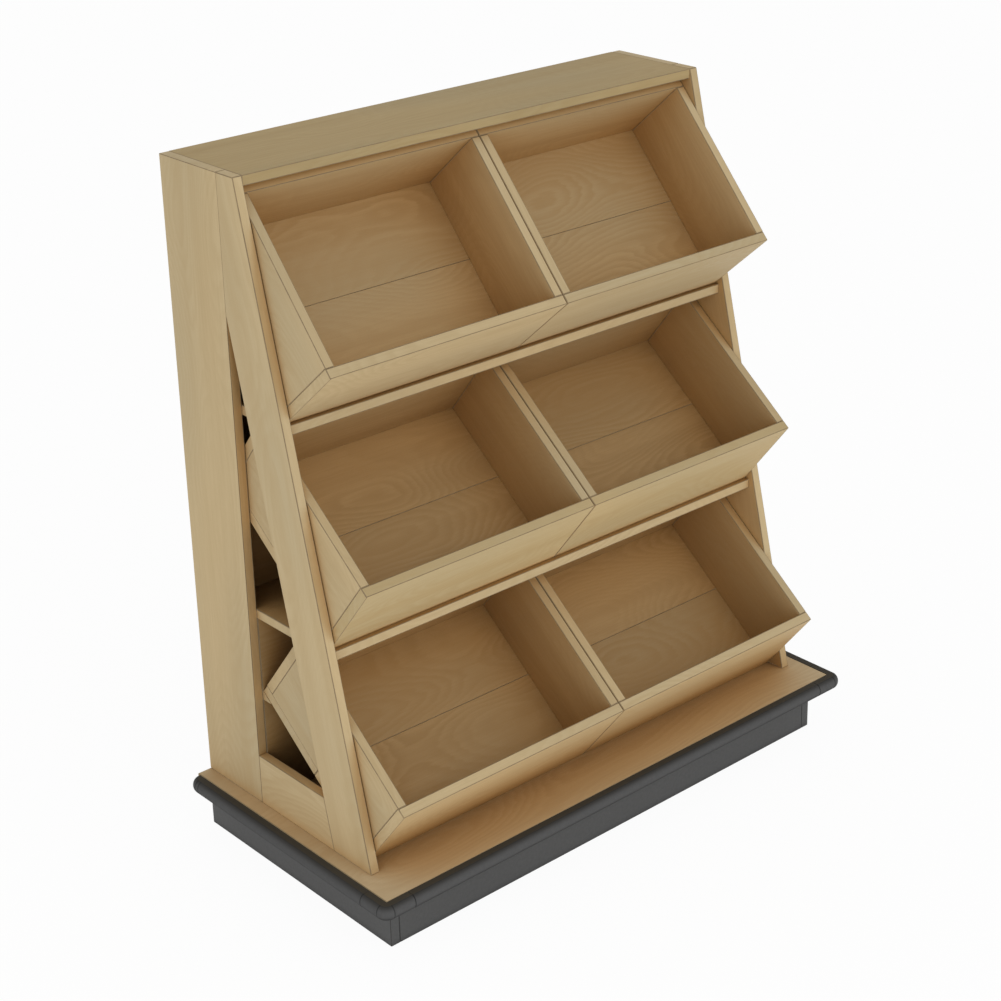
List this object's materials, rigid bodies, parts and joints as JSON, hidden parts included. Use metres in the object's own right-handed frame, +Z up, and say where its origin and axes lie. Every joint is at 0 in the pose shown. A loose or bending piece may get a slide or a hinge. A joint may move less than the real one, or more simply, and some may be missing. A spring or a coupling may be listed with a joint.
{
  "type": "wine crate display",
  "caption": "Freestanding shop display: open wooden crates tilted towards the customer in rows between leaning side frames, on a dark plinth with a bumper round the deck.",
  "frame": {"origin": "on the floor under the centre of the footprint, bumper included", "axes": "+Z up, -Y towards the customer (crate openings), +X to the customer's right"},
  "size_m": [1.2202, 0.6108, 1.3557],
  "materials": {
    "light_oak": "clear satin on light oak veneer",
    "charcoal_laminate": "matt charcoal laminate on board",
    "charcoal_vinyl": "matt charcoal vinyl"
  },
  "bodies": {
    "display": {"deck_panel": "light_oak", "kick_front": "charcoal_laminate", "kick_left": "charcoal_laminate", "kick_right": "charcoal_laminate", "bumper_front": "charcoal_vinyl", "bumper_left": "charcoal_vinyl", "bumper_right": "charcoal_vinyl", "bumper_corner_left": "charcoal_vinyl", "bumper_corner_right": "charcoal_vinyl", "left_back_stile": "light_oak", "left_front_stile": "light_oak", "left_bottom_rail": "light_oak", "right_back_stile": "light_oak", "right_front_stile": "light_oak", "right_bottom_rail": "light_oak", "top_panel": "light_oak", "middle_shelf": "light_oak", "upper_shelf": "light_oak", "bottom_back_panel": "light_oak", "middle_back_panel": "light_oak", "upper_back_panel": "light_oak", "bottom_crate_rail": "light_oak", "middle_crate_rail": "light_oak", "upper_crate_rail": "light_oak"},
    "bottom_left_crate": {"bottom_left_crate_front": "light_oak", "bottom_left_crate_back": "light_oak", "bottom_left_crate_bottom_front": "light_oak", "bottom_left_crate_bottom_back": "light_oak", "bottom_left_crate_left": "light_oak", "bottom_left_crate_right": "light_oak"},
    "bottom_right_crate": {"bottom_right_crate_front": "light_oak", "bottom_right_crate_back": "light_oak", "bottom_right_crate_bottom_front": "light_oak", "bottom_right_crate_bottom_back": "light_oak", "bottom_right_crate_left": "light_oak", "bottom_right_crate_right": "light_oak"},
    "middle_left_crate": {"middle_left_crate_front": "light_oak", "middle_left_crate_back": "light_oak", "middle_left_crate_bottom_front": "light_oak", "middle_left_crate_bottom_back": "light_oak", "middle_left_crate_left": "light_oak", "middle_left_crate_right": "light_oak"},
    "middle_right_crate": {"middle_right_crate_front": "light_oak", "middle_right_crate_back": "light_oak", "middle_right_crate_bottom_front": "light_oak", "middle_right_crate_bottom_back": "light_oak", "middle_right_crate_left": "light_oak", "middle_right_crate_right": "light_oak"},
    "upper_left_crate": {"upper_left_crate_front": "light_oak", "upper_left_crate_back": "light_oak", "upper_left_crate_bottom_front": "light_oak", "upper_left_crate_bottom_back": "light_oak", "upper_left_crate_left": "light_oak", "upper_left_crate_right": "light_oak"},
    "upper_right_crate": {"upper_right_crate_front": "light_oak", "upper_right_crate_back": "light_oak", "upper_right_crate_bottom_front": "light_oak", "upper_right_crate_bottom_back": "light_oak", "upper_right_crate_left": "light_oak", "upper_right_crate_right": "light_oak"}
  },
  "joints": [
    {"name": "bottom_left_crate_pull", "type": "slide", "parent": "display", "child": "bottom_left_crate", "axis": [0, -1, 0], "range_m": [0, 0.6]},
    {"name": "bottom_right_crate_pull", "type": "slide", "parent": "display", "child": "bottom_right_crate", "axis": [0, -1, 0], "range_m": [0, 0.6]},
    {"name": "middle_left_crate_pull", "type": "slide", "parent": "display", "child": "middle_left_crate", "axis": [0, -1, 0], "range_m": [0, 0.6]},
    {"name": "middle_right_crate_pull", "type": "slide", "parent": "display", "child": "middle_right_crate", "axis": [0, -1, 0], "range_m": [0, 0.6]},
    {"name": "upper_left_crate_pull", "type": "slide", "parent": "display", "child": "upper_left_crate", "axis": [0, -1, 0], "range_m": [0, 0.6]},
    {"name": "upper_right_crate_pull", "type": "slide", "parent": "display", "child": "upper_right_crate", "axis": [0, -1, 0], "range_m": [0, 0.6]}
  ]
}
